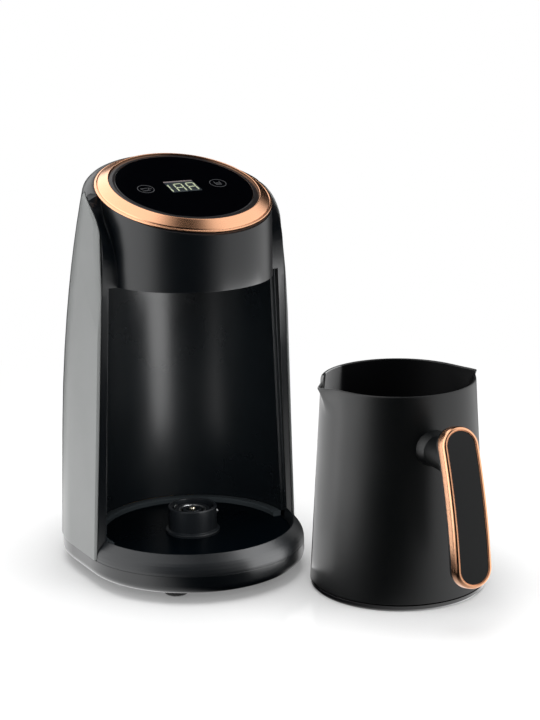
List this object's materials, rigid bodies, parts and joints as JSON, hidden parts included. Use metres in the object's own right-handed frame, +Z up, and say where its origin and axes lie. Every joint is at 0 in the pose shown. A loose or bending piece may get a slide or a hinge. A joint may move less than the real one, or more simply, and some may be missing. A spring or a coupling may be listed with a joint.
{
  "type": "electric turkish coffee maker",
  "caption": "Tapered tower coffee maker with a tilted round touch panel and an open bay over a coupler tray, with a separate two-spout heating pot that has a bar handle.",
  "frame": {"origin": "on the table plane, on the axis of the coupler boss in the tray", "axes": "+Z up along the coupler boss, -Y to the open front of the bay, +X to the machine's right as seen from the front, where the pot stands"},
  "size_m": [0.2342, 0.3126, 0.2725],
  "materials": {
    "shell_black": "satin black",
    "liner_black": "satin black, darker",
    "tray_black": "satin black",
    "panel_grey": "satin light grey",
    "copper_trim": "copper coloured plating, satin",
    "bezel_charcoal": "satin charcoal",
    "glass_black": "gloss black",
    "gloss_black": "gloss black",
    "pot_black": "fine matt black",
    "rubber_black": "matt",
    "steel": "plain",
    "aluminium": "plain",
    "contact_metal": "plated",
    "board_green": "solder mask",
    "board_tan": "laminate",
    "parts_grey": "plain",
    "ceramic": "plain"
  },
  "bodies": {
    "machine": {"base_bottom": "shell_black", "base_feet": "rubber_black", "base_screws": "steel", "base_ring": "shell_black", "tray": "tray_black", "coupler_boss": "shell_black", "coupler_core": "liner_black", "contact_ring": "contact_metal", "centre_pin": "contact_metal", "front_housing": "shell_black", "bay_liner": "liner_black", "side_panel_left": "panel_grey", "side_panel_right": "panel_grey", "rear_cover": "shell_black", "trim_ring": "copper_trim", "inner_bezel": "bezel_charcoal", "glass_panel": "glass_black", "display_module": "parts_grey", "control_board": "board_green", "touch_springs": "steel", "control_screws": "steel", "power_board": "board_tan", "board_brackets": "parts_grey", "power_parts": "parts_grey", "boil_sensor": "gloss_black", "cord_inlet": "rubber_black"},
    "contact_right": {"side_contact_right": "contact_metal"},
    "contact_left": {"side_contact_left": "contact_metal"},
    "pot": {"pot_body": "pot_black", "pot_base": "shell_black", "heater_plate": "aluminium", "heater_element": "steel", "pot_connector": "liner_black", "pot_contacts": "contact_metal", "pot_thermostat": "ceramic", "pot_screws": "steel", "handle_body": "pot_black", "handle_trim": "copper_trim", "handle_inlay": "gloss_black", "handle_screw": "steel", "handle_insert": "contact_metal"}
  },
  "joints": [
    {"name": "pot_lift", "type": "slide", "parent": "machine", "child": "pot", "axis": [0, 0, 1], "range_m": [0, 0.15]},
    {"name": "side_contact_right_slide", "type": "slide", "parent": "machine", "child": "contact_right", "axis": [-0.8988, 0.4384, 0], "range_m": [0, 0.0011], "stiffness_N_per_m": 300},
    {"name": "side_contact_left_slide", "type": "slide", "parent": "machine", "child": "contact_left", "axis": [0.4695, -0.8829, 0], "range_m": [0, 0.0011], "stiffness_N_per_m": 300}
  ]
}
